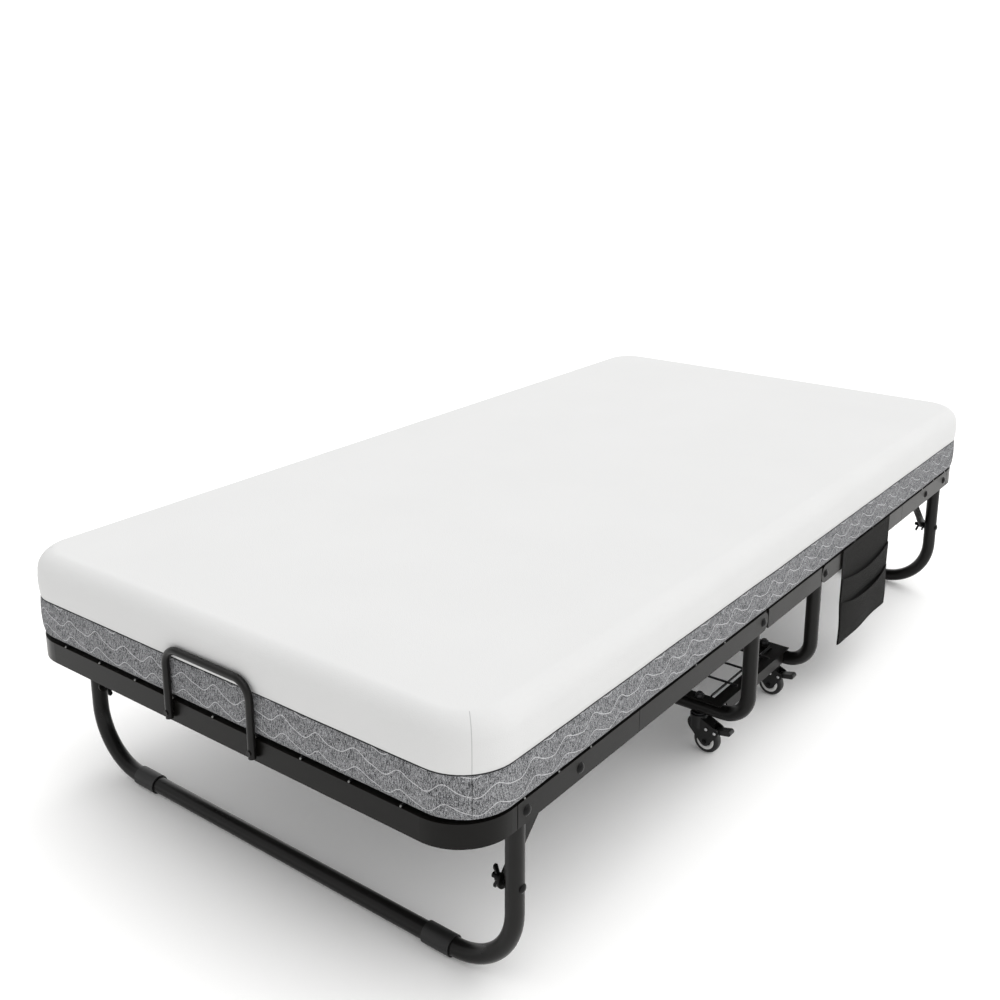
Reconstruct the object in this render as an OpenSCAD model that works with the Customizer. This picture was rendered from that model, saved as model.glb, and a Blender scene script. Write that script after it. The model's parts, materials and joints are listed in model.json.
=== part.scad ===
// Folding cot: rollaway bed frame on a wheeled centre cart, with a foam mattress.
// Millimetres. +X is the head end, -X the foot end, +Z up from the floor.

/* [Frame] */
// Overall length over the two end bars
frame_len = 1905; // [1800:5:2050]
// Overall width over the side rails
frame_w = 965; // [700:5:1250]
// Height of the top face of the rails above the floor
rail_top = 304; // [280:1:340]
// Height of the flat outer face of the rails
rail_h = 36; // [28:1:50]
// Sheet thickness of rails, bars and links
rail_t = 2.5; // [2:0.1:4]
// Width of the rail's inward top flange
rail_lip = 18; // [12:1:30]
// Plan radius of the frame corners
corner_r = 84; // [50:1:140]
// Diameter of the mesh wires
wire_d = 4; // [3:0.5:6]
// Spacing of the lengthwise mesh wires
wire_pitch = 91.6; // [60:0.1:120]

/* [Legs] */
// Diameter of the leg tubes
tube_d = 27.2; // [20:0.1:35]
// Wall thickness of the leg tubes
tube_wall = 1.5; // [1:0.1:3]
// Distance of each end leg from the middle of the bed
leg_x = 836.5; // [700:0.5:900]
// Bend radius of the end legs on their centre line
leg_bend = 105; // [60:1:160]
// Height of the bolt that the brace hooks over
catch_z = 165; // [140:1:200]
// Distance of each brace pivot from the middle of the bed
brace_x = 712; // [600:1:780]

/* [Centre cart] */
// Distance of each fold pivot from the middle of the bed
fold_x = 136; // [100:1:180]
// Bend radius of the centre legs on their centre line
cart_bend = 48; // [35:1:90]
// Height of the underside of the centre legs, where the casters bolt on
cart_z = 75; // [60:1:100]
// Distance of each caster from the bed's long centre line
caster_y = 366; // [300:1:400]
// Caster wheel diameter
wheel_d = 50; // [40:1:65]

/* [Mattress] */
// Mattress length
mat_len = 1904; // [1800:1:2050]
// Mattress width
mat_w = 974; // [700:1:1250]
// Mattress thickness
mat_h = 141; // [80:1:200]
// Rounding of the mattress's top edges
mat_r = 38; // [10:1:60]

/* [Display] */
// Part to draw

/* [Hidden] */
$fn = 32;
eps = 0.02;
hw = frame_w / 2;
hl = frame_len / 2;
tube_r = tube_d / 2;
wire_r = wire_d / 2;
piv_z = rail_top - rail_h / 2;
leg_piv_z = piv_z - 20;
flange_y = hw - rail_t;
link_t = 3.5;
link_gap = 0.4;
link_y = flange_y - link_gap - link_t;
cart_y = link_y - link_gap - tube_r;
bracket_t = 3;
bracket_y = flange_y - bracket_t;
leg_y = bracket_y - 0.4 - tube_r;
cheek_y = leg_y - tube_r - 0.4 - bracket_t;
brace_t = 3;
brace_w = 23;
brace_y = cheek_y - 0.4;
brace_in_y = brace_y - brace_t;
sleeve_r = tube_r + 2.6;
leg_bar_z = sleeve_r;
sleeve_y = 332;
sleeve_len = 50;
cart_bar_z = cart_z + tube_r;
bolt_r = 4;
bore_r = 4.08;
thread_r = 4.05;
bolt_head_r = 9;
bolt_head_h = 4.5;
head_dome_r = 10.5;
catch_head_h = 2.8;
spacer_r = 6;
nut_r = 7.2;
nut_h = 6;
wire_z = rail_top + wire_r;
cross_z = wire_z - wire_d + 0.4;
cross_wires = [841, 763, 685, 381, 283];
loop_end = 858;
seam_w = 1.6;
splice_x = 555;
fold_clear = 24;
bar_a = [577, 620];
bar_b = [472, 508];
hinge_bar = [155, 179];
bar_t = 3;
bar_top = rail_top - rail_t;
bar_drop = 14;
deck_z = rail_top + wire_d;
mat_hw = mat_w / 2;
mat_hl = mat_len / 2;
handle_y = 92;
handle_r = 6;
handle_x = hl + 0.3 + handle_r;
handle_top = 399;
handle_bend = 28;
stem_r = 5;
fork_gap = 20;
cheek_t = 3;
wheel_w = 18;
trail = 20;
hub_r = 16;
hub_z0 = 46;
hub_z1 = 72;
pocket_x = [213, 467];
pocket_w = pocket_x[1] - pocket_x[0];
pocket_t = 1.5;
pocket_gap = 0.3;
pocket_bottom = 108;
pouches = [[201, 249, 7], [pocket_bottom, 199, 16]];

// ---- general shapes ----

module both_sides() {
  children();
  mirror([0, 1, 0]) children();
}

module flip_end() {
  mirror([1, 0, 0]) children();
}

// cylinder along Y from y0 to y1
module rod_y(r, y0, y1) {
  translate([0, y1, 0]) rotate([90, 0, 0]) cylinder(r = r, h = y1 - y0);
}

// cylinder along X from x0 to x1
module rod_x(r, x0, x1) {
  translate([x0, 0, 0]) rotate([0, 90, 0]) cylinder(r = r, h = x1 - x0);
}

// solid of a U in the YZ plane at x = 0, open upwards
module u_solid(r, y, bar_z, top_z, bend) {
  both_sides() {
    translate([0, y, bar_z + bend]) cylinder(r = r, h = top_z - bar_z - bend);
    translate([0, y - bend, bar_z + bend])
      rotate([90, 0, 90]) rotate_extrude(angle = -90) translate([bend, 0]) circle(r);
  }
  translate([0, 0, bar_z]) rod_y(r, -(y - bend), y - bend);
}

// U tube, its two upper ends rounded about the pivot line and bored for the pivot bolts
module u_tube(y, bar_z, pivot_z, bend) {
  difference() {
    intersection() {
      u_solid(tube_r, y, bar_z, pivot_z + tube_r, bend);
      union() {
        translate([0, 0, pivot_z]) rod_y(tube_r, -hw, hw);
        translate([-hw, -hw, 0]) cube([2 * hw, 2 * hw, pivot_z]);
      }
    }
    u_solid(tube_r - tube_wall, y, bar_z, pivot_z + 2 * tube_r, bend);
    translate([0, 0, pivot_z]) rod_y(bore_r, -hw, hw);
  }
}

// angle section, outer face on y = 0, body towards +y, top at z = 0
module angle_2d() {
  translate([0, -rail_h]) square([rail_t, rail_h]);
  translate([0, -rail_t]) square([rail_lip, rail_t]);
}

// button-head bolt, head on +Y side at y = face, shank inwards to y = tip
module bolt_y(face, tip, head_h = bolt_head_h) {
  intersection() {
    rod_y(bolt_head_r, face, face + head_h);
    translate([0, face + head_h - head_dome_r, 0]) sphere(r = head_dome_r, $fn = 24);
  }
  rod_y(bolt_r, tip, face + eps);
}

// ring nut with six flats, its bore filled by the thread
module nut_y(y0) {
  difference() {
    translate([0, y0 + nut_h, 0]) rotate([90, 0, 0]) cylinder(r = nut_r, h = nut_h, $fn = 6);
    rod_y(thread_r, y0 - 1, y0 + nut_h + 1);
  }
}

// ---- centre cart ----

module cart_leg() {
  difference() {
    u_tube(cart_y, cart_bar_z, piv_z, cart_bend);
    both_sides() translate([0, caster_y, cart_bar_z - 2 * tube_r])
      cylinder(r = stem_r + 0.05, h = 4 * tube_r);
  }
}

module centre_leg_foot() { color("#1b1b1d") translate([-fold_x, 0, 0]) cart_leg(); }
module centre_leg_head() { color("#1b1b1d") translate([fold_x, 0, 0]) cart_leg(); }

// side link: a flush outer plate between the rail ends, on a tongue behind the rails
module link() {
  face_x = fold_x - rail_h / 2 - 2;
  difference() {
    union() {
      translate([-face_x, link_y + eps, rail_top - rail_h]) cube([2 * face_x, hw - link_y - eps, rail_h]);
      translate([-fold_x, link_y, rail_top - rail_h + 2]) cube([2 * fold_x, link_t, rail_h - 4]);
      for (s = [-1, 1]) translate([s * fold_x, 0, piv_z]) rod_y(rail_h / 2 - 2, link_y, link_y + link_t);
    }
    for (s = [-1, 1]) translate([s * fold_x, 0, piv_z]) rod_y(bore_r, link_y - 1, hw);
  }
}

module link_far() { color("#1b1b1d") link(); }
module link_near() { color("#1b1b1d") mirror([0, 1, 0]) link(); }

cart_bar_top = piv_z + 12;
cart_bar_x = fold_x - tube_r - 4.4;

module cart_bar() {
  translate([-cart_bar_x, -link_y, piv_z - 12]) cube([bar_t, 2 * link_y, 24]);
  translate([-cart_bar_x, -link_y, piv_z - 12]) cube([18, 2 * link_y, bar_t]);
}

module cart_bars() {
  color("#1b1b1d") {
    cart_bar();
    flip_end() cart_bar();
  }
}

shelf_y = cart_y - cart_bend;
shelf_z = cart_bar_z + tube_r;
shelf_w = 24;

// welded angle frame resting on the bottom bars of the two centre legs
module shelf_frame() {
  color("#1b1b1d") difference() {
    union() {
      for (s = [-1, 1]) translate([s * fold_x - shelf_w / 2, -shelf_y, shelf_z])
        cube([shelf_w, 2 * shelf_y, rail_t]);
      both_sides() {
        translate([-fold_x, shelf_y - shelf_w, shelf_z]) cube([2 * fold_x, shelf_w, rail_t]);
        translate([-fold_x + tube_r + 1, shelf_y - rail_t, shelf_z - 20])
          cube([2 * (fold_x - tube_r - 1), rail_t, 20 + eps]);
      }
    }
    for (s = [-1, 1]) both_sides() translate([s * fold_x, caster_y, 0])
      cylinder(r = stem_r + 0.05, h = 2 * cart_bar_z);
  }
}

shelf_wire_r = 2.25;
shelf_cells = 12;

module shelf_wires() {
  long_z = shelf_z + rail_t + shelf_wire_r;
  span = 2 * (shelf_y - 30);
  color("#1b1b1d") {
    for (k = [0:shelf_cells])
      translate([0, -span / 2 + k * span / shelf_cells, long_z])
        rod_x(shelf_wire_r, -fold_x + 11, fold_x - 11, $fn = 16);
    for (k = [-1:1])
      translate([k * 68, 0, long_z + 2 * shelf_wire_r - 0.3])
        rod_y(shelf_wire_r, -(shelf_y - 6), shelf_y - 6, $fn = 16);
  }
}

centre_wire_z = cart_bar_top + wire_r;

module centre_wires() {
  color("#1b1b1d") {
    for (k = [-4:4])
      translate([0, k * wire_pitch, centre_wire_z]) rod_x(wire_r, -cart_bar_x, cart_bar_x, $fn = 16);
    for (s = [-1, 1])
      translate([s * 35, 0, centre_wire_z - wire_d + 0.4]) rod_y(wire_r, -link_y, link_y, $fn = 16);
  }
}

module fold_bolts() {
  color("#2a2a2c") for (s = [-1, 1]) both_sides()
    translate([s * fold_x, 0, piv_z]) bolt_y(hw, cart_y - tube_r - nut_h - 2);
}

module fold_nuts() {
  color("#2a2a2c") for (s = [-1, 1]) both_sides()
    translate([s * fold_x, 0, piv_z]) nut_y(cart_y - tube_r - nut_h);
}

stem_seat = shelf_z + rail_t;

// threaded stem through the bottom bar, with its nut on top and a collar under the bar
module caster_stem() {
  translate([0, 0, hub_z0 + 1]) cylinder(r = stem_r, h = stem_seat + nut_h + 2 - hub_z0);
  translate([0, 0, hub_z1 + 0.3]) cylinder(r = 12, h = cart_z - hub_z1 - 0.4);
  translate([0, 0, stem_seat]) cylinder(r = 8.5, h = nut_h, $fn = 6);
}

module caster_stems() {
  color("#b9bcc0") for (s = [-1, 1]) both_sides() translate([s * fold_x, caster_y, 0]) caster_stem();
}

// ---- mattress ----

module mat_profile(half, h, r) {
  hull() {
    translate([-half, 0]) square([2 * half, h - r]);
    for (s = [-1, 1]) translate([s * (half - r), h - r]) circle(r);
  }
}

module mat_plan() {
  hull() for (i = [-1, 1]) for (j = [-1, 1])
    translate([i * (mat_hl - 70), j * (mat_hw - 70)]) circle(70);
}

module mattress() {
  translate([0, 0, deck_z]) intersection() {
    rotate([90, 0, 90]) translate([0, 0, -hl - 50]) linear_extrude(2 * hl + 100)
      mat_profile(mat_hw, mat_h, mat_r);
    rotate([90, 0, 0]) translate([0, 0, -hw - 50]) linear_extrude(2 * hw + 100)
      mat_profile(mat_hl, mat_h, mat_r);
    linear_extrude(mat_h) mat_plan();
  }
}

module mattress_piece(x0, x1) {
  intersection() {
    mattress();
    translate([x0, -hw - 50, 0]) cube([x1 - x0, 2 * hw + 100, 1000]);
  }
}

module mattress_centre() { color("#f4f4f2") mattress_piece(-fold_x, fold_x); }
module mattress_foot() { color("#f4f4f2") mattress_piece(-hl - 50, -fold_x); }
module mattress_head() { color("#f4f4f2") mattress_piece(fold_x, hl + 50); }

// ---- bed halves, drawn at the head end ----

module loop() {
  difference() {
    union() {
      both_sides() {
        translate([hl - corner_r, hw - corner_r, rail_top])
          rotate_extrude(angle = 90) translate([corner_r, 0]) mirror([1, 0]) angle_2d();
        translate([loop_end, hw, rail_top]) rotate([90, 0, 90]) mirror([1, 0, 0])
          linear_extrude(hl - corner_r - loop_end) angle_2d();
      }
      translate([hl, hw - corner_r, rail_top]) rotate([90, 0, 0]) mirror([1, 0, 0])
        linear_extrude(2 * (hw - corner_r)) angle_2d();
    }
    for (s = [-1, 1]) translate([hl - 20, s * handle_y, piv_z]) rod_x(bolt_r - 0.95, 0, 30);
  }
}

// side rail from the fold pivot to the end loop, with the seam of its splice
module rail() {
  lip_x = fold_x + fold_clear;
  difference() {
    union() {
      translate([lip_x, hw, rail_top]) rotate([90, 0, 90]) mirror([1, 0, 0])
        linear_extrude(loop_end - seam_w - lip_x) angle_2d();
      translate([fold_x, flange_y, rail_top - rail_h]) cube([fold_clear + eps, rail_t, rail_h]);
      translate([fold_x, 0, piv_z]) rod_y(rail_h / 2, flange_y, hw);
    }
    translate([fold_x, 0, piv_z]) rod_y(bore_r, flange_y - 1, hw + 1);
    translate([brace_x, 0, piv_z]) rod_y(thread_r, flange_y - 1, hw + 1);
    translate([leg_x, 0, piv_z]) rod_y(thread_r, flange_y - 1, hw + 1);
    translate([splice_x, hw - 0.6, rail_top - rail_h - 1]) cube([1, 2, rail_h + 2]);
  }
}

// angle bar across the bed, under the rails' lips
module cross_bar(x) {
  translate([x[0], -flange_y, bar_top - bar_t]) cube([x[1] - x[0], 2 * flange_y, bar_t]);
  translate([x[1] - bar_t, -flange_y, bar_top - bar_drop]) cube([bar_t, 2 * flange_y, bar_drop]);
}

module half_wires() {
  for (k = [-4:4])
    translate([0, k * wire_pitch, wire_z]) rod_x(wire_r, hinge_bar[0], hl - 2, $fn = 16);
  for (x = cross_wires) translate([x, 0, 0]) {
    translate([0, 0, cross_z]) rod_y(wire_r, -(hw - rail_lip), hw - rail_lip, $fn = 16);
    both_sides() translate([0, 0, wire_z]) rod_y(wire_r, hw - rail_lip - 5, hw - 1.5, $fn = 16);
  }
}

module handle_solid() {
  top = handle_top - handle_r;
  both_sides() {
    translate([0, handle_y, piv_z - 10]) cylinder(r = handle_r, h = top - handle_bend - piv_z + 10);
    translate([0, handle_y - handle_bend, top - handle_bend])
      rotate([90, 0, 90]) rotate_extrude(angle = 90) translate([handle_bend, 0]) circle(handle_r);
  }
  translate([0, 0, top]) rod_y(handle_r, -(handle_y - handle_bend), handle_y - handle_bend);
}

// U handle with a rivet at each foot through the end bar
module handle() {
  translate([handle_x, 0, 0]) {
    handle_solid();
    for (s = [-1, 1]) translate([0, s * handle_y, piv_z]) {
      rod_x(bolt_r - 1, -handle_r - rail_t - 2, handle_r + 1);
      rod_x(bolt_r + 0.5, handle_r - 1, handle_r + 1.5);
    }
  }
}

// bracket over the leg's top: it splices rail and loop, and carries the leg's pin
module bracket() {
  half = 15;
  top = bar_top - 2;
  difference() {
    union() {
      translate([leg_x - half, bracket_y, rail_top - rail_h + 4])
        cube([hl - corner_r - leg_x + half, bracket_t, top - rail_top + rail_h - 4]);
      translate([leg_x - half, cheek_y, leg_piv_z]) cube([2 * half, bracket_t, top - leg_piv_z]);
      translate([leg_x, 0, leg_piv_z]) rod_y(half, cheek_y, cheek_y + bracket_t);
      translate([leg_x - half, cheek_y, top - bracket_t])
        cube([2 * half, flange_y - cheek_y, bracket_t]);
    }
    translate([leg_x, 0, piv_z]) rod_y(thread_r, bracket_y - 1, hw);
  }
  translate([leg_x, 0, leg_piv_z]) rod_y(bolt_r, cheek_y, leg_y + tube_r - 0.3);
}

// bolts at the leg brackets, and the brace pivots with their spacers
module half_bolts() {
  both_sides() {
    translate([leg_x, 0, piv_z]) bolt_y(hw, bracket_y - 5);
    translate([brace_x, 0, piv_z]) {
      bolt_y(hw, brace_in_y - nut_h - 2);
      rod_y(spacer_r, brace_y + 0.3, flange_y);
    }
  }
}

module half_nuts() {
  both_sides() {
    translate([leg_x, 0, piv_z]) difference() {
      rod_y(5.4, bracket_y - 4, bracket_y);
      rod_y(thread_r, bracket_y - 5, bracket_y + 1);
    }
    translate([brace_x, 0, piv_z]) nut_y(brace_in_y - nut_h - 0.3);
  }
}

module end_leg() {
  difference() {
    translate([leg_x, 0, 0]) u_tube(leg_y, leg_bar_z, leg_piv_z, leg_bend);
    translate([leg_x, 0, catch_z]) rod_y(thread_r, -hw, hw);
  }
}

module sleeves() {
  translate([leg_x, 0, leg_bar_z]) both_sides() difference() {
    rod_y(sleeve_r, sleeve_y - sleeve_len / 2, sleeve_y + sleeve_len / 2);
    rod_y(tube_r + 0.05, sleeve_y - sleeve_len, sleeve_y + sleeve_len);
  }
}

catch_tip_y = brace_in_y - 16;

// bolt through the leg, with a spacer up to the brace
module catch_bolts() {
  translate([leg_x, 0, catch_z]) both_sides() {
    bolt_y(leg_y + tube_r + 0.1, catch_tip_y, catch_head_h);
    rod_y(7, brace_y + 0.3, leg_y - tube_r - 0.1);
  }
}

// wing nut screwed up to the brace's inner face
module wing_nut() {
  hub = brace_in_y - 0.4;
  translate([leg_x, 0, catch_z]) difference() {
    union() {
      rod_y(6.5, hub - 9, hub);
      for (s = [-1, 1]) hull() {
        translate([0, 0, s * 14]) rod_y(4, hub - 13, hub - 10.5);
        translate([0, 0, s * 4]) rod_y(3, hub - 8.5, hub - 6);
      }
    }
    rod_y(thread_r, hub - 20, hub + 5);
  }
}

module wing_nuts() { both_sides() wing_nut(); }

brace_dx = leg_x - brace_x;
brace_dz = catch_z - piv_z;
brace_len = sqrt(brace_dx * brace_dx + brace_dz * brace_dz);
brace_ang = atan2(-brace_dz, brace_dx);

hook_r = bolt_r + 0.4;
hook_open = 9;
hook_outer_r = 13;

// flat brace from the rail bolt to the leg bolt, its lower end an open hook
module brace() {
  translate([brace_x, 0, piv_z]) rotate([0, brace_ang, 0]) difference() {
    union() {
      translate([0, brace_in_y, -brace_w / 2]) cube([brace_len, brace_t, brace_w]);
      rod_y(brace_w / 2, brace_in_y, brace_y);
      translate([brace_len, 0, 0]) rod_y(hook_outer_r, brace_in_y, brace_y);
    }
    rod_y(bore_r, brace_in_y - 1, brace_y + 1);
    translate([brace_len, 0, 0]) rod_y(hook_r, brace_in_y - 1, brace_y + 1);
    translate([brace_len - hook_r - hook_open, brace_in_y - 1, -30])
      cube([2 * hook_r + hook_open, brace_t + 2, 30]);
  }
}

module braces() { both_sides() brace(); }

module head_loop() { color("#1b1b1d") loop(); }
module head_rail_far() { color("#1b1b1d") rail(); }
module head_rail_near() { color("#1b1b1d") mirror([0, 1, 0]) rail(); }
module head_bar_outer() { color("#1b1b1d") cross_bar(bar_a); }
module head_bar_inner() { color("#1b1b1d") cross_bar(bar_b); }
module head_hinge_bar() { color("#1b1b1d") cross_bar(hinge_bar); }
module head_wires() { color("#1b1b1d") half_wires(); }
module head_handle() { color("#1b1b1d") handle(); }
module head_brackets() { color("#1b1b1d") both_sides() bracket(); }
module head_bolts() { color("#2a2a2c") half_bolts(); }
module head_nuts() { color("#2a2a2c") half_nuts(); }
module head_leg() { color("#1b1b1d") end_leg(); }
module head_sleeves() { color("#141414") sleeves(); }
module head_catch_bolts() { color("#2a2a2c") catch_bolts(); }
module head_wing_nuts() { color("#2a2a2c") wing_nuts(); }
module head_braces() { color("#1b1b1d") braces(); }

module foot_loop() { color("#1b1b1d") flip_end() loop(); }
module foot_rail_far() { color("#1b1b1d") flip_end() rail(); }
module foot_rail_near() { color("#1b1b1d") flip_end() mirror([0, 1, 0]) rail(); }
module foot_bar_outer() { color("#1b1b1d") flip_end() cross_bar(bar_a); }
module foot_bar_inner() { color("#1b1b1d") flip_end() cross_bar(bar_b); }
module foot_hinge_bar() { color("#1b1b1d") flip_end() cross_bar(hinge_bar); }
module foot_wires() { color("#1b1b1d") flip_end() half_wires(); }
module foot_handle() { color("#1b1b1d") flip_end() handle(); }
module foot_brackets() { color("#1b1b1d") flip_end() both_sides() bracket(); }
module foot_bolts() { color("#2a2a2c") flip_end() half_bolts(); }
module foot_nuts() { color("#2a2a2c") flip_end() half_nuts(); }
module foot_leg() { color("#1b1b1d") flip_end() end_leg(); }
module foot_sleeves() { color("#141414") flip_end() sleeves(); }
module foot_catch_bolts() { color("#2a2a2c") flip_end() catch_bolts(); }
module foot_wing_nuts() { color("#2a2a2c") flip_end() wing_nuts(); }
module foot_braces() { color("#1b1b1d") flip_end() braces(); }

// hanging organiser on the near rail: a back sheet over the rail and two stepped pouches
module organiser_place(depth, z) {
  translate([pocket_x[0], -hw - pocket_gap - pocket_t - depth, z]) children();
}

module pouch(bottom, top, depth) {
  organiser_place(depth, bottom) difference() {
    cube([pocket_w, depth, top - bottom]);
    translate([pocket_t, pocket_t, pocket_t])
      cube([pocket_w - 2 * pocket_t, depth, top]);
  }
}

module pocket_panel() {
  color("#202022") organiser_place(0, pocket_bottom)
    cube([pocket_w, pocket_t, rail_top - pocket_bottom]);
}

module pocket_pouches() {
  color("#262628") for (p = pouches) pouch(p[0], p[1], p[2]);
}

// ---- casters: drawn about the stem, wheel trailing towards +X ----

axle_z = wheel_d / 2;
brake_x = trail + 20;
brake_z = 48;

module caster_side_2d() {
  hull() {
    translate([0, hub_z1 - hub_r]) circle(r = hub_r);
    translate([trail, axle_z]) circle(r = 9);
    translate([brake_x, brake_z]) circle(r = 7);
  }
}

module caster_fork() {
  half = fork_gap / 2 + cheek_t;
  color("#161617") {
    difference() {
      union() {
        translate([0, 0, hub_z0]) cylinder(r = hub_r, h = hub_z1 - hub_z0);
        translate([0, half, 0]) rotate([90, 0, 0]) linear_extrude(2 * half) caster_side_2d();
      }
      translate([trail, 0, axle_z]) rod_y(wheel_d / 2 + 1.5, -fork_gap / 2, fork_gap / 2);
      translate([brake_x - 8, -fork_gap / 2, brake_z - 14]) cube([30, fork_gap, 40]);
      translate([brake_x, 0, brake_z]) rod_y(3.08, -half - 1, half + 1);
      translate([0, 0, hub_z0 - 20]) cylinder(r = stem_r + 0.08, h = 60);
    }
    translate([trail, 0, axle_z]) rod_y(4, -half - 1, half + 1);
    both_sides() translate([trail + 3, 0, brake_z + 3]) rod_y(2.4, half - eps, half + 1.2);
  }
}

module caster_wheel() {
  h = wheel_w / 2;
  r = wheel_d / 2;
  color("#111111") translate([trail, 0, axle_z]) rotate([90, 0, 0]) rotate_extrude($fn = 48)
    polygon([[bore_r, -h + 1], [10, -h + 1], [10, -h], [r - 3, -h], [r, -h + 3], [r, h - 3],
      [r - 3, h], [10, h], [10, h - 1], [bore_r, h - 1]]);
}

// foot-operated lever on its pin between the fork's two sides
module caster_brake() {
  reach = 24;
  color("#161617") translate([brake_x, 0, brake_z]) {
    rod_y(3, -fork_gap / 2 - cheek_t - 1, fork_gap / 2 + cheek_t + 1);
    translate([0, 8, 0]) rotate([90, 0, 0]) linear_extrude(16) hull() {
      circle(r = 4.2);
      translate([reach, 5]) circle(r = 5);
    }
  }
}

module place_caster(i, j) {
  translate([i * fold_x, j * caster_y, 0]) rotate([0, 0, -90]) children();
}

module caster1_fork() { place_caster(-1, -1) caster_fork(); }
module caster1_wheel() { place_caster(-1, -1) caster_wheel(); }
module caster1_brake() { place_caster(-1, -1) caster_brake(); }
module caster2_fork() { place_caster(1, -1) caster_fork(); }
module caster2_wheel() { place_caster(1, -1) caster_wheel(); }
module caster2_brake() { place_caster(1, -1) caster_brake(); }
module caster3_fork() { place_caster(1, 1) caster_fork(); }
module caster3_wheel() { place_caster(1, 1) caster_wheel(); }
module caster3_brake() { place_caster(1, 1) caster_brake(); }
module caster4_fork() { place_caster(-1, 1) caster_fork(); }
module caster4_wheel() { place_caster(-1, 1) caster_wheel(); }
module caster4_brake() { place_caster(-1, 1) caster_brake(); }

centre_leg_foot();
centre_leg_head();
link_near();
link_far();
cart_bars();
shelf_frame();
shelf_wires();
centre_wires();
fold_bolts();
fold_nuts();
caster_stems();
mattress_centre();
foot_loop();
foot_rail_near();
foot_rail_far();
foot_bar_outer();
foot_bar_inner();
foot_hinge_bar();
foot_wires();
foot_handle();
foot_brackets();
foot_bolts();
foot_nuts();
mattress_foot();
foot_leg();
foot_sleeves();
foot_catch_bolts();
foot_wing_nuts();
foot_braces();
head_loop();
head_rail_near();
head_rail_far();
head_bar_outer();
head_bar_inner();
head_hinge_bar();
head_wires();
head_handle();
head_brackets();
head_bolts();
head_nuts();
mattress_head();
pocket_panel();
pocket_pouches();
head_leg();
head_sleeves();
head_catch_bolts();
head_wing_nuts();
head_braces();
caster1_fork();
caster1_wheel();
caster1_brake();
caster2_fork();
caster2_wheel();
caster2_brake();
caster3_fork();
caster3_wheel();
caster3_brake();
caster4_fork();
caster4_wheel();
caster4_brake();
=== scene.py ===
"""Looks of the folding cot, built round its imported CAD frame. Metres."""

import json
import math

import bmesh
import bpy
import numpy as np
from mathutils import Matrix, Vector, noise


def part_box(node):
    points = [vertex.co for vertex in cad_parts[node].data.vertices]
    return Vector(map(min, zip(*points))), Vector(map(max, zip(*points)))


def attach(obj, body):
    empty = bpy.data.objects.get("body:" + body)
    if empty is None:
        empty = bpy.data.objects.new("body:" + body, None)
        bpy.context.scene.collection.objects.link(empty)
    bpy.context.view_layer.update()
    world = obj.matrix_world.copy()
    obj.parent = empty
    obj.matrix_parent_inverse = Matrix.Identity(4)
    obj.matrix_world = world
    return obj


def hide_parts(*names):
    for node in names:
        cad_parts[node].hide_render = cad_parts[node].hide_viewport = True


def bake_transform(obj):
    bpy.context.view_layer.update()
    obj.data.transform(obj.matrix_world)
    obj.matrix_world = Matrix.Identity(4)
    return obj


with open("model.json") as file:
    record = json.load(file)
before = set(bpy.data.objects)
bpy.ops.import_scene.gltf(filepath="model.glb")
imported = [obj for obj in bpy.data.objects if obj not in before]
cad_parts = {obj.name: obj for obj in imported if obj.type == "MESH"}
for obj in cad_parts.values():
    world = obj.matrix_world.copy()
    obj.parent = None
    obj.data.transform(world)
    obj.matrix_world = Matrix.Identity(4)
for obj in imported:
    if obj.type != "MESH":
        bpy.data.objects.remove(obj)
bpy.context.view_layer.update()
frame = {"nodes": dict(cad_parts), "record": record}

# ---- sizes shared with the CAD model ----
HL, HW = 0.9525, 0.4825
RAIL_TOP = 0.304
DECK = 0.308
MAT_L, MAT_W, MAT_TOP = 0.952, 0.487, 0.4492
SEAM_Z = 0.3735
CORNER = 0.082
FOLD_X, CASTER_Y, TRAIL = 0.136, 0.366, 0.020
WIRE_PITCH = 0.0916


# ---- small node-tree helpers ----
class Tree:
    def __init__(self, name):
        self.mat = bpy.data.materials.new(name)
        self.mat.use_nodes = True
        self.nt = self.mat.node_tree
        self.bsdf = self.nt.nodes["Principled BSDF"]

    def node(self, kind, **inputs):
        n = self.nt.nodes.new(kind)
        for k, v in inputs.items():
            if k.startswith("_"):
                setattr(n, k[1:], v)
            else:
                self.put(n, k, v)
        return n

    def put(self, n, key, v):
        by_number = key[0] == "i" and key[1:].isdigit()
        sock = n.inputs[int(key[1:]) if by_number else key.replace("_", " ")]
        if isinstance(v, bpy.types.NodeSocket):
            self.nt.links.new(v, sock)
        else:
            sock.default_value = v

    def math(self, op, a, b=0.0, c=0.0):
        n = self.node("ShaderNodeMath", _operation=op, i0=a, i1=b)
        if op == "MULTIPLY_ADD":
            self.put(n, "i2", c)
        return n.outputs[0]

    def mix(self, fac, a, b):
        n = self.nt.nodes.new("ShaderNodeMix")
        n.data_type = "RGBA"
        self.put(n, "i0", fac)
        self.put(n, "i6", a)
        self.put(n, "i7", b)
        return n.outputs[2]

    def ramp(self, x, lo, hi):
        """x from lo to hi, as 0 to 1."""
        n = self.node("ShaderNodeMapRange", _interpolation_type="SMOOTHSTEP", i0=x, i1=lo, i2=hi)
        return n.outputs[0]

    def bump(self, height, strength, distance):
        n = self.node("ShaderNodeBump", Strength=strength, Distance=distance, Height=height)
        self.nt.links.new(n.outputs[0], self.bsdf.inputs["Normal"])


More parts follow.
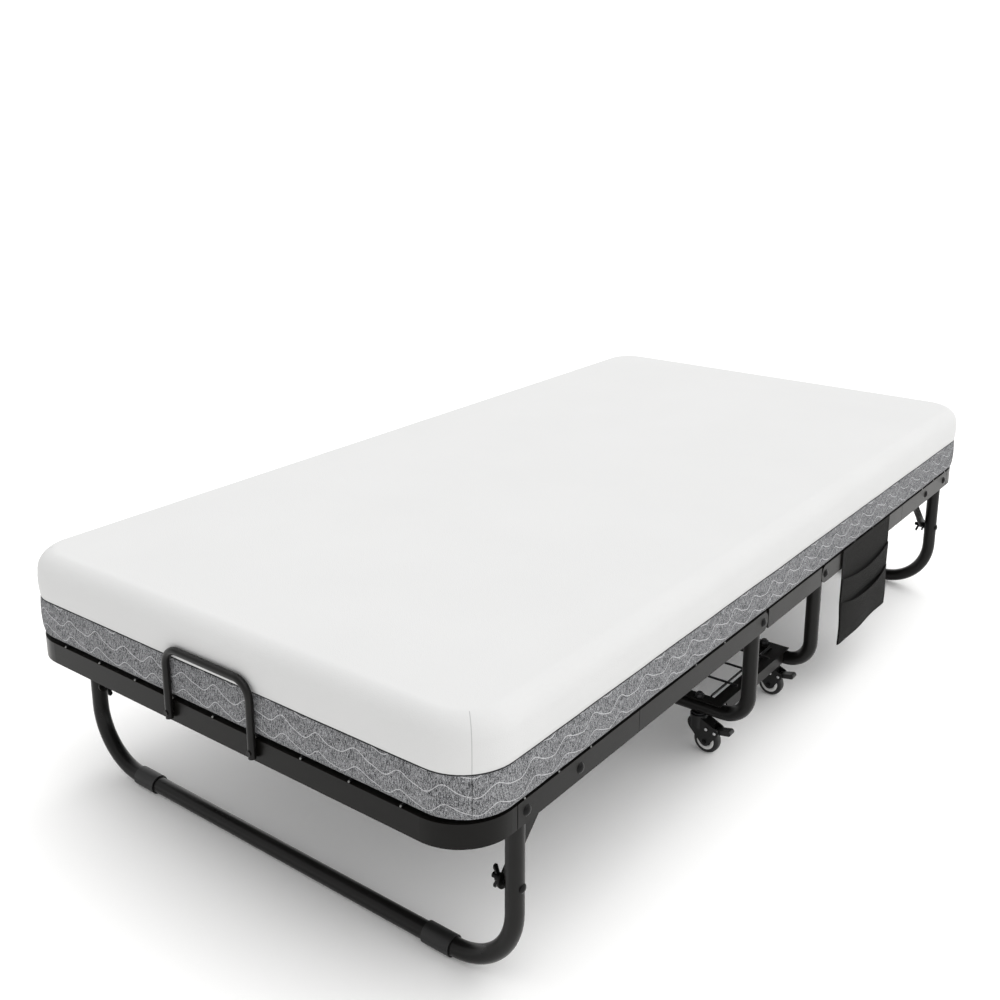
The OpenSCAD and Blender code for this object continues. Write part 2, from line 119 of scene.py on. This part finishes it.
def plain(name, colour, rough, metal=0.0, grain=0.25, grain_scale=900.0, spec=0.4, worn=0.25, dust=0.0):
    """Paint, plastic or metal: a fine grain in the surface, and slow changes of tone and gloss."""
    t = Tree(name)
    t.put(t.bsdf, "Metallic", metal)
    t.put(t.bsdf, "Specular IOR Level", spec)
    if dust:  # powder coat turns pale at a low angle
        t.put(t.bsdf, "Sheen Weight", dust)
        t.put(t.bsdf, "Sheen Roughness", 0.24)
        t.put(t.bsdf, "Sheen Tint", (1.0, 0.97, 0.91, 1))
    co = t.node("ShaderNodeTexCoord").outputs["Object"]
    fine = t.node("ShaderNodeTexNoise", Vector=co, Scale=grain_scale, Detail=2.0)
    t.bump(fine.outputs[0], grain, 0.0002)
    big = t.node("ShaderNodeTexNoise", Vector=co, Scale=11.0, Detail=4.0)
    slow = t.math("MULTIPLY", big.outputs[0], 0.75)
    tone = t.ramp(t.math("MULTIPLY_ADD", fine.outputs[0], 0.25, slow), 0.3, 0.7)
    dark = tuple(c * (1 - worn) for c in colour)
    light = tuple(min(1.0, c * (1 + worn)) for c in colour)
    t.put(t.bsdf, "Base Color", t.mix(tone, (*dark, 1), (*light, 1)))
    t.put(t.bsdf, "Roughness", t.math("MULTIPLY_ADD", big.outputs[0], 0.14, rough - 0.07))
    return t.mat


steel = plain("steel_black", (0.0032, 0.0029, 0.0024), 0.33, spec=0.13, dust=0.27)
tube_mat = plain("tube_black", (0.0054, 0.0051, 0.0047), 0.3, spec=0.2, dust=0.04)
wire_mat = plain("wire_black", (0.006, 0.006, 0.006), 0.4, spec=0.3)
bolt_mat = plain("bolt_black", (0.0035, 0.0035, 0.0035), 0.24, spec=0.12)
stem_mat = plain("stem_dark", (0.05, 0.05, 0.052), 0.35, metal=0.7)
zinc = plain("zinc", (0.62, 0.62, 0.63), 0.28, metal=1.0, worn=0.12)
bright = plain("wire_end", (0.26, 0.26, 0.255), 0.35, metal=0.5)
sleeve_mat = plain("sleeve_black", (0.007, 0.007, 0.007), 0.5, grain_scale=500.0, grain=0.4)
fork_mat = plain("fork_black", (0.0045, 0.0045, 0.0045), 0.3, spec=0.35)
lever_mat = plain("lever_black", (0.005, 0.005, 0.0052), 0.42, grain_scale=500.0, grain=0.4)
tyre_mat = plain("tyre_black", (0.005, 0.005, 0.005), 0.45, grain_scale=400.0, grain=0.4)
ring_mat = plain("ring_white", (0.60, 0.60, 0.59), 0.35, worn=0.05)

MAT_OF = {
    "frame": steel,
    "wire": wire_mat,
    "fastener": bolt_mat,
    "stem": stem_mat,
    "sleeve": sleeve_mat,
    "fork": fork_mat,
    "wheel": tyre_mat,
    "lever": lever_mat,
}
SLOT = {part["node"]: part["material_slot"] for part in frame["record"]["subparts"]}
SHARP_ANGLE = math.radians(32)
BEVEL_ANGLE = math.radians(40)
EDGE_ROUND = 0.0005


def smooth(obj, bevel=0.0):
    """Smooth shading with sharp edges kept, and a small rounding where edges are hard."""
    me = obj.data
    me.polygons.foreach_set("use_smooth", [True] * len(me.polygons))
    if bevel:
        b = obj.modifiers.new("edge", "BEVEL")
        b.width = bevel
        b.segments = 2
        b.limit_method = "ANGLE"
        b.angle_limit = BEVEL_ANGLE
        b.harden_normals = True
    else:
        me.set_sharp_from_angle(angle=SHARP_ANGLE)


for name, obj in frame["nodes"].items():
    kind = SLOT.get(name, "frame")
    mat = MAT_OF.get(kind, steel)
    if name.endswith("_leg") or name.startswith("centre_leg") or name.endswith("_handle"):
        mat = tube_mat
    obj.data.materials.clear()
    obj.data.materials.append(mat)
    thin = kind == "frame" and mat is steel and "brackets" not in name
    smooth(obj, bevel=EDGE_ROUND if thin else 0.0)


# ---- meshes ----
def make(name, verts, faces, mats, body, index=None):
    me = bpy.data.meshes.new(name)
    me.from_pydata([tuple(v) for v in verts], [], faces)
    for m in mats:
        me.materials.append(m)
    if index is not None:
        me.polygons.foreach_set("material_index", index)
    me.polygons.foreach_set("use_smooth", [True] * len(me.polygons))
    me.update()
    ob = bpy.data.objects.new(name, me)
    bpy.context.scene.collection.objects.link(ob)
    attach(ob, body)
    return ob


def ring_points(a, b, r, nx, ny, nc):
    """Points round a rounded rectangle with half sides a, b, corner radius r; and their outward directions.
    x = 0 falls on a point of each long side."""
    pts, out = [], []
    for q, (sx, sy) in enumerate([(1, 1), (-1, 1), (-1, -1), (1, -1)]):
        cx, cy = sx * (a - r), sy * (b - r)
        t0 = q * math.pi / 2
        for k in range(nc + 1):
            t = t0 + k / nc * math.pi / 2
            d = (math.cos(t), math.sin(t))
            pts.append((cx + r * d[0], cy + r * d[1]))
            out.append(d)
        t = t0 + math.pi / 2
        d = (math.cos(t), math.sin(t))
        n = nx if q % 2 == 0 else ny
        p0 = np.array(pts[-1])
        nq = [(-1, 1), (-1, -1), (1, -1), (1, 1)][q]
        p1 = np.array([nq[0] * (a - r), nq[1] * (b - r)]) + r * np.array(d)
        for k in range(1, n):
            p = p0 + (p1 - p0) * k / n
            pts.append(tuple(p))
            out.append(d)
    return np.array(pts), np.array(out)


def fbm(p, scale):
    return noise.fractal(Vector(p) * scale, 1.0, 2.0, 2)


BAND, SEAM, WHITE, BOTTOM = range(4)  # the mattress's material slots


def mattress():
    """Vertices, faces, each face's material slot, and each vertex's distance round the mattress."""
    nx, ny, nc = 150, 72, 14
    rows = []  # inset from the outline, height, material slot
    band_h = SEAM_Z - DECK
    n_bottom = 30  # the bottom is made of rings, as the top is, so that it bends cleanly at the fold
    rim = 0.040
    for k in range(n_bottom, -1, -1):
        rows.append((rim + (MAT_W - rim) * k / n_bottom, DECK, BOTTOM))
    for k in range(5):  # the soft bottom edge
        t = k / 4 * math.pi / 2
        rows.append((0.0025 + 0.006 * (1 - math.sin(t)), DECK + 0.0002 + 0.0052 * (1 - math.cos(t)), BAND))
    for k in range(1, 9):
        t = 0.1 + 0.9 * k / 9
        rows.append((0.0025 - 0.0022 * math.sin(math.pi * t) - 0.0007 * t, DECK + band_h * t, BAND))
    rows.append((0.0018, SEAM_Z - 0.0010, BAND))
    rows += [(0.0034, SEAM_Z - 0.0003, SEAM), (0.0034, SEAM_Z + 0.0003, SEAM)]
    rows.append((0.0014, SEAM_Z + 0.0016, WHITE))
    r = 0.034  # rounding of the upper edge
    z_r = MAT_TOP - r
    for k in range(1, 6):
        t = k / 5
        swell = 0.0022 * math.sin(math.pi * t * 0.8)
        rows.append((0.0014 - swell, SEAM_Z + 0.0016 + (z_r - SEAM_Z - 0.0016) * t, WHITE))
    base = rows[-1][0]
    for k in range(1, 11):
        t = k / 10 * math.pi / 2
        rows.append((base + r * (1 - math.cos(t)), z_r + r * math.sin(t), WHITE))
    edge = rows[-1][0]
    n_top = 40
    for k in range(1, n_top + 1):
        t = k / n_top
        rows.append((edge + (MAT_W - edge) * t, MAT_TOP, WHITE))
    verts = []
    slope_w = 0.12  # how far in the top keeps rising
    for inset, z, kind in rows:
        a, b = MAT_L - inset, MAT_W - inset
        rr = min(max(CORNER - inset, 0.0004), b)
        pts, out = ring_points(a, b, rr, nx, ny, nc)
        top = inset > edge - 1e-6 and z > z_r
        for (x, y), d in zip(pts, out):
            zz = z
            if top:
                m = min((MAT_L - abs(x)) / slope_w, (MAT_W - abs(y)) / slope_w, 1.0)
                zz += -0.0012 + 0.0012 * m * (2 - m) + 0.0012 * fbm((x, y, 1.3), 3.2) * m
            elif kind not in (SEAM, BOTTOM):
                w = 0.0009 * fbm((x, y, z), 9.0)
                x, y = x + d[0] * w, y + d[1] * w
            verts.append((x, y, zz))
    n = len(pts)
    faces, index = [], []
    for k in range(len(rows) - 1):
        lower, upper = rows[k][2], rows[k + 1][2]
        if lower == BOTTOM:
            kind = BOTTOM
        elif upper == SEAM:
            kind = SEAM
        else:
            kind = max(lower, upper)
        for j in range(n):
            j2 = (j + 1) % n
            faces.append((k * n + j, k * n + j2, (k + 1) * n + j2, (k + 1) * n + j))
            index.append(kind)
    # perimeter distance, for the band's pattern
    p, _ = ring_points(MAT_L, MAT_W, CORNER, nx, ny, nc)
    s = np.r_[0, np.cumsum(np.linalg.norm(np.diff(p, axis=0), axis=1))]
    return np.array(verts), faces, index, np.tile(s, len(rows))


def split_mattress(side):
    """The half of the mattress on one side of x = 0. The real cloth is one piece, cut here in two at the
    middle."""
    verts, faces, index, s = mattress()
    me = bpy.data.meshes.new(f"mattress_cloth_{side}")
    me.from_pydata([tuple(v) for v in verts], [], faces)
    me.polygons.foreach_set("material_index", index)
    at = me.attributes.new("along", "FLOAT", "POINT")
    at.data.foreach_set("value", s.astype(np.float32))
    rest = me.attributes.new("rest", "FLOAT_VECTOR", "POINT")
    rest.data.foreach_set("vector", verts.astype(np.float32).ravel())
    for m in (band_mat, seam_mat, knit_mat, bottom_mat):
        me.materials.append(m)
    bm = bmesh.new()
    bm.from_mesh(me)
    # closes the rings that end along the middle of the bottom and of the top
    bmesh.ops.remove_doubles(bm, verts=bm.verts[:], dist=2e-4)
    sx = 1.0 if side == "head" else -1.0
    geom = bm.verts[:] + bm.edges[:] + bm.faces[:]
    bmesh.ops.bisect_plane(
        bm, geom=geom, plane_co=(0, 0, 0), plane_no=(-sx, 0, 0), clear_outer=True, dist=1e-5
    )
    bm.to_mesh(me)
    bm.free()
    me.polygons.foreach_set("use_smooth", [True] * len(me.polygons))
    me.update()
    ob = bpy.data.objects.new(f"mattress_cloth_{side}", me)
    bpy.context.scene.collection.objects.link(ob)
    return ob


def attr(t, name, out):
    return t.node("ShaderNodeAttribute", _attribute_name=name).outputs[out]


def corner_seam(t, rest, core, edge):
    """1 on the sewn seam that runs up each corner of the mattress, and 0 away from it."""
    sep = t.node("ShaderNodeSeparateXYZ", Vector=rest)
    ax = t.math("ABSOLUTE", sep.outputs[0])
    ay = t.math("ABSOLUTE", sep.outputs[1])
    along = t.math("SUBTRACT", ax, MAT_L - 0.026)
    across = t.math("SUBTRACT", ay, MAT_W - 0.024)
    line = t.math("ABSOLUTE", t.math("SUBTRACT", along, across))
    near = t.math("GREATER_THAN", t.math("ADD", ax, ay), MAT_L + MAT_W - 0.085)
    return t.math("MULTIPLY", t.math("SUBTRACT", 1.0, t.ramp(line, core, edge)), near)


def knit():
    """White knitted upper."""
    t = Tree("white_knit")
    rest = attr(t, "rest", "Vector")
    fine = t.node("ShaderNodeTexVoronoi", Vector=rest, Scale=620.0)
    soft = t.node("ShaderNodeTexNoise", Vector=rest, Scale=6.0, Detail=3.0)
    big = t.math("MULTIPLY_ADD", soft.outputs[0], 0.02, 0.556)
    seam = corner_seam(t, rest, 0.0003, 0.0012)
    col = t.node("ShaderNodeCombineColor", i0=big, i1=big, i2=t.math("MULTIPLY", big, 0.995))
    t.put(t.bsdf, "Base Color", t.mix(seam, col.outputs[0], (0.37, 0.37, 0.37, 1)))
    t.put(t.bsdf, "Roughness", 0.9)
    t.put(t.bsdf, "Specular IOR Level", 0.25)
    t.put(t.bsdf, "Sheen Weight", 0.04)
    h = t.math("SUBTRACT", fine.outputs[0], t.math("MULTIPLY", seam, 2.0))
    t.bump(h, 0.25, 0.0006)
    return t.mat


def streaks(t, s, z, across, up, detail):
    """Noise stretched upright: across and up are its scales along the band and up it."""
    at = t.node("ShaderNodeCombineXYZ", i0=t.math("MULTIPLY", s, across), i1=t.math("MULTIPLY", z, up))
    return t.node("ShaderNodeTexNoise", Vector=at.outputs[0], Scale=1.0, Detail=detail, Roughness=0.7)


def melange(t, s, z):
    """Grey yarn flecks: short upright streaks, fine ones over broader ones."""
    fleck = streaks(t, s, z, 1450.0, 430.0, 3.0)
    broad = streaks(t, s, z, 560.0, 115.0, 2.0)
    patch = streaks(t, s, z, 42.0, 22.0, 2.0)
    f = t.math("ADD", t.math("MULTIPLY", fleck.outputs[0], 0.60), t.math("MULTIPLY", broad.outputs[0], 0.33))
    f = t.math("MULTIPLY_ADD", patch.outputs[0], 0.07, f)
    f = t.ramp(f, 0.42, 0.60)
    return fleck, f, t.mix(f, (0.0155, 0.0162, 0.0180, 1), (0.365, 0.368, 0.378, 1))


def underside():
    """The same yarn on the mattress's flat bottom, without the waves."""
    t = Tree("heather_bottom")
    sep = t.node("ShaderNodeSeparateXYZ", Vector=attr(t, "rest", "Vector"))
    _, f, base = melange(t, sep.outputs[1], sep.outputs[0])
    t.put(t.bsdf, "Base Color", base)
    t.put(t.bsdf, "Roughness", 0.95)
    t.put(t.bsdf, "Specular IOR Level", 0.2)
    t.bump(f, 0.3, 0.0005)
    return t.mat


def heather():
    """Grey melange band with knitted white waves."""
    t = Tree("heather_band")
    rest = attr(t, "rest", "Vector")
    s = attr(t, "along", "Fac")
    z = t.node("ShaderNodeSeparateXYZ", Vector=rest).outputs[2]
    fleck, f, base = melange(t, s, z)
    # white waves in parallel rows
    slow = t.node("ShaderNodeCombineXYZ", i0=t.math("MULTIPLY", s, 7.0))
    wob = t.node("ShaderNodeTexNoise", Vector=slow.outputs[0], Scale=1.0, Detail=1.0)
    lam, amp = 0.071, 0.0068  # length and height of a wave
    bend = t.math("MULTIPLY", wob.outputs[0], 3.0)  # the waves drift along the band
    lines = None
    for k, z0 in enumerate((0.323, 0.350, 0.377)):
        ph = t.math("ADD", bend, 0.25 * k)
        w = t.math("SINE", t.math("MULTIPLY_ADD", s, 2 * math.pi / lam, ph))
        w2 = t.math("SINE", t.math("MULTIPLY_ADD", s, 4 * math.pi / lam, t.math("ADD", ph, 1.1)))
        w3 = t.math("SINE", t.math("MULTIPLY_ADD", s, math.pi / lam, t.math("ADD", ph, 0.5 * k)))
        c = t.math("ADD", t.math("MULTIPLY_ADD", w, amp, z0), t.math("MULTIPLY", w2, 0.0016))
        c = t.math("MULTIPLY_ADD", w3, 0.0016, c)
        # thickness across the line's own slope
        cosine = t.math("COSINE", t.math("MULTIPLY_ADD", s, 2 * math.pi / lam, ph))
        slope = t.math("MULTIPLY", cosine, amp * 2 * math.pi / lam)
        norm = t.math("SQRT", t.math("MULTIPLY_ADD", slope, slope, 1.0))
        d = t.math("DIVIDE", t.math("ABSOLUTE", t.math("SUBTRACT", z, c)), norm)
        ln = t.math("SUBTRACT", 1.0, t.ramp(d, 0.0002, 0.0009))
        lines = ln if lines is None else t.math("MAXIMUM", lines, ln)
    stitch = t.ramp(fleck.outputs[0], 0.30, 0.52)
    lines = t.math("MULTIPLY", lines, t.math("MULTIPLY_ADD", stitch, 0.75, 0.2))
    col = t.mix(lines, base, (0.53, 0.53, 0.54, 1))
    seam = corner_seam(t, rest, 0.0004, 0.0013)
    t.put(t.bsdf, "Base Color", t.mix(t.math("MULTIPLY", seam, 0.7), col, (0.02, 0.02, 0.02, 1)))
    t.put(t.bsdf, "Roughness", 0.95)
    t.put(t.bsdf, "Specular IOR Level", 0.2)
    h = t.math("ADD", t.math("MULTIPLY", f, 0.6), t.math("MULTIPLY", lines, 1.2))
    t.bump(t.math("SUBTRACT", h, t.math("MULTIPLY", seam, 2.0)), 0.35, 0.0006)
    return t.mat


band_mat = heather()
bottom_mat = underside()
knit_mat = knit()
seam_mat = plain("seam_dark", (0.02, 0.02, 0.022), 0.9)

for side, sx in (("foot", -1), ("head", 1)):
    ob = split_mattress(side)
    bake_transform(ob)
    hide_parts(f"mattress_{side}", *(["mattress_centre"] if side == "foot" else []))


# ---- cloth organiser on the near rail ----
def weave():
    """Black woven cloth."""
    t = Tree("pocket_black")
    co = t.node("ShaderNodeTexCoord").outputs["Object"]
    wa = t.node("ShaderNodeTexWave", Vector=co, Scale=420.0, _bands_direction="X")
    wb = t.node("ShaderNodeTexWave", Vector=co, Scale=420.0, _bands_direction="Z")
    h = t.math("ADD", wa.outputs["Fac"], wb.outputs["Fac"])
    dark, light = (0.0042, 0.0040, 0.0036, 1), (0.0110, 0.0108, 0.0101, 1)
    t.put(t.bsdf, "Base Color", t.mix(t.math("MULTIPLY", h, 0.5), dark, light))
    t.put(t.bsdf, "Roughness", 0.9)
    t.put(t.bsdf, "Specular IOR Level", 0.12)
    t.put(t.bsdf, "Sheen Weight", 0.02)
    t.bump(h, 0.3, 0.0004)
    return t.mat


cloth = weave()
X0, X1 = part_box("pocket_panel")[0][0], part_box("pocket_panel")[1][0]
P_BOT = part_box("pocket_panel")[0][2]
Y_BACK = -(HW + 0.0018)
CLOTH = 0.0009
HEM, HEM_EXTRA = 0.007, 0.0007


def sway(z):
    """Sideways wander of the cloth's edges below the rail."""
    drop = max(0.0, (RAIL_TOP - z) / 0.2)
    return 0.0034 * drop * math.sin(11.0 * drop - 0.6)


def cloth_sheet(name, height, y_of, z_of, nu=72, nv=56):
    """A hemmed rectangle of cloth, placed by functions of u (along) and v (up)."""
    verts = []
    for side in (0.0, 1.0):
        for j in range(nv + 1):
            for i in range(nu + 1):
                u, v = i / nu, j / nv
                z = z_of(u, v)
                rim = min(u * (X1 - X0), (1 - u) * (X1 - X0), (1 - v) * height, v * height + 0.002)
                thick = CLOTH + HEM_EXTRA * max(0.0, min(1.0, (HEM - rim) / 0.0012))
                x = X0 + (X1 - X0) * u + sway(z) * (1.15 - 0.3 * u)
                verts.append((x, y_of(u, v) - side * thick, z))
    faces = []
    m = (nu + 1) * (nv + 1)
    for j in range(nv):
        for i in range(nu):
            a = j * (nu + 1) + i
            q = (a, a + 1, a + nu + 2, a + nu + 1)
            faces.append(tuple(reversed(q)))
            faces.append(tuple(m + k for k in q))
    rim = [j * (nu + 1) for j in range(nv + 1)] + [nv * (nu + 1) + i for i in range(1, nu + 1)]
    rim += [j * (nu + 1) + nu for j in range(nv - 1, -1, -1)] + [i for i in range(nu - 1, 0, -1)]
    for k in range(len(rim)):
        a, b = rim[k], rim[(k + 1) % len(rim)]
        faces.append((a, b, m + b, m + a))
    ob = make(name, verts, faces, [cloth], "head_half")
    ob.data.set_sharp_from_angle(angle=math.radians(60))
    return ob


def hang(u, z):
    """Slow ripple of the hanging cloth, firm at the rail."""
    drop = max(0.0, (RAIL_TOP - 0.036 - z)) / 0.16
    return -0.0016 * drop * (1.0 + math.sin(u * 5.1 + 0.6)) - 0.0008 * drop * math.sin(u * 11 + z * 30)


back_top = RAIL_TOP + 0.0036
cloth_sheet(
    "pocket_back",
    back_top - P_BOT,
    lambda u, v: Y_BACK + hang(u, P_BOT + (back_top - P_BOT) * v),
    lambda u, v: P_BOT + (back_top - P_BOT) * v,
)
# top, bottom, stand-off of the front, and how far the mouth stands open
TIERS = [(0.2490, 0.1890, 0.0022, 0.0030), (0.1990, P_BOT + 0.0006, 0.0046, 0.0050)]
SAG = 0.013
for k, (top, bottom, off, belly) in enumerate(TIERS):

    def y_of(u, v, top=top, bottom=bottom, off=off, belly=belly):
        z = bottom + (top - bottom) * v
        side = (4 * u * (1 - u)) ** 0.6
        return Y_BACK - 0.0018 - off * side * min(1.0, 0.3 + v * 2.5) - belly * side * v**2 + hang(u, z)

    def z_of(u, v, top=top, bottom=bottom):
        return bottom + (top - bottom) * v - SAG * (4 * u * (1 - u)) * v**2

    cloth_sheet(f"pocket_front{k + 1}", top - bottom, y_of, z_of, nv=28)
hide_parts("pocket_panel")
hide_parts("pocket_pouches")


# ---- caster wheels, rivets and the bright wire ends ----
def lathe_x(name, profile, segments, centre, body, mats, kinds):
    """Profile of (x, radius) turned about the X axis through centre."""
    verts, faces, index = [], [], []
    n = len(profile)
    for k in range(segments):
        a = 2 * math.pi * k / segments
        for x, r in profile:
            verts.append((centre[0] + x, centre[1] + r * math.cos(a), centre[2] + r * math.sin(a)))
    for k in range(segments):
        k2 = (k + 1) % segments
        for j in range(n - 1):
            faces.append((k * n + j, k * n + j + 1, k2 * n + j + 1, k2 * n + j))
            index.append(kinds[j])
    ob = make(name, verts, faces, mats, body, index)
    ob.data.set_sharp_from_angle(angle=math.radians(35))
    return ob


WHEEL_R = 0.025
# half of the wheel's section: x, radius, and 1 where it is the pale ring
half_w = [
    (0.0040, 0.0042, 0),
    (0.0066, 0.0044, 0),
    (0.0066, 0.0090, 0),
    (0.0072, 0.0104, 1),
    (0.0092, 0.0112, 1),
    (0.0098, 0.0124, 1),
    (0.0098, 0.0156, 1),
    (0.0090, 0.0170, 0),
    (0.0086, 0.0174, 0),
    (0.0088, 0.0200, 0),
    (0.0082, 0.0222, 0),
    (0.0070, 0.0238, 0),
    (0.0050, 0.0247, 0),
    (0.0025, 0.0250, 0),
]
prof = [(-x, r) for x, r, _ in half_w] + [(x, r) for x, r, _ in reversed(half_w)]
half_kinds = [k for _, _, k in half_w[:-1]]
kinds = half_kinds + [0] + half_kinds[::-1]
CAP = [(0.0, 0.0030), (0.0012, 0.0028), (0.0018, 0.0016), (0.0019, 0.0001)]
PLACE = [(-1, -1), (1, -1), (1, 1), (-1, 1)]
for k, (i, j) in enumerate(PLACE, 1):
    sx, sy = i * FOLD_X, j * CASTER_Y
    w = lathe_x(
        f"caster{k}_wheel_shown",
        prof,
        64,
        (sx, sy - TRAIL, WHEEL_R),
        f"caster{k}_wheel_body",
        [tyre_mat, ring_mat],
        kinds,
    )
    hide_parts(f"caster{k}_wheel")
    heads = ((TRAIL + 0.020, 0.048, "pin"), (TRAIL + 0.003, 0.051, "rivet"), (TRAIL, WHEEL_R, "axle"))
    for back, z, tag in heads:
        body = f"caster{k}_brake_body" if tag == "pin" else f"caster{k}_swivel_body"
        for d in (-1, 1):
            face = 0.0140 if tag != "rivet" else 0.0142
            rr = 1.0 if tag != "axle" else 1.4
            lathe_x(
                f"caster{k}_{tag}_{'a' if d < 0 else 'b'}",
                [(d * (x + face), r * rr) for x, r in CAP],
                20,
                (sx, sy - back, z),
                body,
                [zinc if tag != "axle" else bolt_mat],
                [0] * 3,
            )


def ball_set(name, centres, r, mat, body):
    """Small balls of radius r at the given centres, as one piece."""
    nseg, nring = 10, 5
    verts, faces = [], []
    for c in centres:
        b = len(verts)
        verts.append((c[0], c[1], c[2] + r))
        for a in range(1, nring):
            t = math.pi * a / nring
            for s in range(nseg):
                p = 2 * math.pi * s / nseg
                out = r * math.sin(t)
                verts.append((c[0] + out * math.cos(p), c[1] + out * math.sin(p), c[2] + r * math.cos(t)))
        verts.append((c[0], c[1], c[2] - r))
        last = len(verts) - 1
        for s in range(nseg):
            s2 = (s + 1) % nseg
            faces.append((b, b + 1 + s, b + 1 + s2))
            for a in range(nring - 2):
                q = b + 1 + a * nseg
                faces.append((q + s, q + nseg + s, q + nseg + s2, q + s2))
            q = b + 1 + (nring - 2) * nseg
            faces.append((q + s, last, q + s2))
    return make(name, verts, faces, [mat], body)


BALL_R = 0.0017
CROSS = (0.841, 0.763, 0.685, 0.381, 0.283)  # where the cross wires end, from the middle
for side, sx in (("foot", -1), ("head", 1)):
    ends = [(sx * x, sy * (HW - 0.0012), RAIL_TOP + 0.0016) for x in CROSS for sy in (-1, 1)]
    ends += [(sx * (HL - 0.0012), k * WIRE_PITCH, RAIL_TOP + 0.0016) for k in range(-4, 5)]
    ball_set(f"{side}_wire_ends", ends, BALL_R, bright, f"{side}_half")


# ---- stage ----
FLOOR_HALF = 30


def floor():
    """White floor that glows a little, so that it joins the white room."""
    t = Tree("floor_white")
    t.put(t.bsdf, "Base Color", (0.97, 0.967, 0.96, 1))
    t.put(t.bsdf, "Emission Color", (1, 1, 0.995, 1))
    t.put(t.bsdf, "Emission Strength", 0.045)
    t.put(t.bsdf, "Roughness", 0.7)
    t.put(t.bsdf, "Specular IOR Level", 0.2)
    me = bpy.data.meshes.new("floor")
    s = FLOOR_HALF
    me.from_pydata([(-s, -s, 0), (s, -s, 0), (s, s, 0), (-s, s, 0)], [], [(0, 1, 2, 3)])
    me.materials.append(t.mat)
    ob = bpy.data.objects.new("floor", me)
    bpy.context.scene.collection.objects.link(ob)


floor()


def sun(name, toward, strength, spread):
    """Even light from one side of the ceiling."""
    li = bpy.data.lights.new(name, "SUN")
    li.energy = strength
    li.angle = math.radians(spread)
    ob = bpy.data.objects.new(name, li)
    bpy.context.scene.collection.objects.link(ob)
    ob.location = toward
    ob.rotation_euler = (-Vector(toward)).to_track_quat("-Z", "Y").to_euler()


sun("key", (0.8, -1.1, 3.2), 1.10, 70)


def map_range(nt, value, source, target):
    """A node that turns the source range of a value smoothly into the target range."""
    n = nt.nodes.new("ShaderNodeMapRange")
    n.interpolation_type = "SMOOTHSTEP"
    for i, v in enumerate((*source, *target), 1):
        n.inputs[i].default_value = v
    nt.links.new(value, n.inputs[0])
    return n


def studio():
    """A white room, a little dimmer on the foot end's side."""
    world = bpy.data.worlds.new("studio")
    bpy.context.scene.world = world
    world.use_nodes = True
    nt = world.node_tree
    co = nt.nodes.new("ShaderNodeTexCoord")
    sep = nt.nodes.new("ShaderNodeSeparateXYZ")
    nt.links.new(co.outputs["Generated"], sep.inputs[0])
    fade = map_range(nt, sep.outputs[0], (-0.8, 0.3), (0.76, 1.36))
    # the walls turn white where they meet the floor
    high = map_range(nt, sep.outputs[2], (0.02, 0.30), (1.30, 0.0))
    most = nt.nodes.new("ShaderNodeMath")
    most.operation = "MAXIMUM"
    nt.links.new(fade.outputs[0], most.inputs[0])
    nt.links.new(high.outputs[0], most.inputs[1])
    back = nt.nodes["Background"]
    back.inputs[0].default_value = (1, 1, 1, 1)
    nt.links.new(most.outputs[0], back.inputs[1])


studio()
bpy.context.scene.view_settings.view_transform = "Standard"

# ---- camera ----
CAMERA_AT = (-1.94161, -1.28148, 1.19779)
YAW, PITCH = 0.65187, -0.25953
LENS, SHIFT_UP = 43.105, -0.10
cam_data = bpy.data.cameras.new("camera")
cam = bpy.data.objects.new("camera", cam_data)
bpy.context.scene.collection.objects.link(cam)
cam_data.sensor_width = 36.0
cam_data.lens = LENS
cam_data.shift_y = SHIFT_UP
cam.location = CAMERA_AT
look = Vector((math.cos(YAW) * math.cos(PITCH), math.sin(YAW) * math.cos(PITCH), math.sin(PITCH)))
cam.rotation_euler = look.to_track_quat("-Z", "Y").to_euler()
cam_data.clip_end = 100
bpy.context.scene.camera = cam
